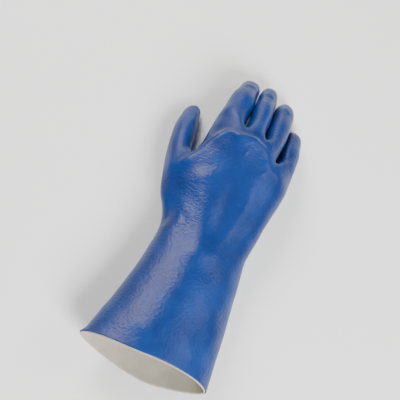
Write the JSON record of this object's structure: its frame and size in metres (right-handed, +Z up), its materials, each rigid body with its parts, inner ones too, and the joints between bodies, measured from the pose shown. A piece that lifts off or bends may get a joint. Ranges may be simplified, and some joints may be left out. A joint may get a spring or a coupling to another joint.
{
  "type": "chemical-resistant glove",
  "caption": "Blue rubber-dipped gauntlet glove for the right hand, with a flared cuff, lightly curled fingers and a pale knitted lining.",
  "frame": {"origin": "on the surface that the glove lies on, under the middle of its bounding box", "axes": "+Y from the cuff to the fingertips, +Z up, away from the palm, +X from the thumb's side to the little finger's side"},
  "size_m": [0.152, 0.3294, 0.0687],
  "materials": {
    "nitrile": "satin dipped nitrile rubber with a fine grain, mid blue",
    "cotton": "unbleached cotton knit, matt"
  },
  "bodies": {
    "root": {"nitrile_coating": "nitrile", "cotton_lining": "cotton"}
  },
  "joints": []
}
